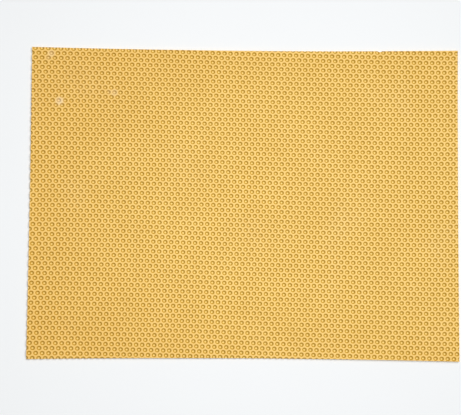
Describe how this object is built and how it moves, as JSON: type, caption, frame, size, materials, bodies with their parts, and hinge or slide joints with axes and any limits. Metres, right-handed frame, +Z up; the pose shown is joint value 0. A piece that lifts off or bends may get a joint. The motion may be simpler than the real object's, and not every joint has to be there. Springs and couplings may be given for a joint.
{
  "type": "beeswax comb foundation sheet",
  "caption": "Thin oblong sheet of yellow beeswax comb foundation, with close rows of shallow round-bottomed cell pits embossed in both faces.",
  "frame": {"origin": "middle of the underside", "axes": "+X along the long edges and the rows of cells, +Y across the sheet, +Z up through its thickness"},
  "size_m": [0.386, 0.2816, 0.0022],
  "materials": {
    "beeswax": "waxy satin, embossed"
  },
  "bodies": {
    "root": {"foundation_sheet": "beeswax"}
  },
  "joints": []
}
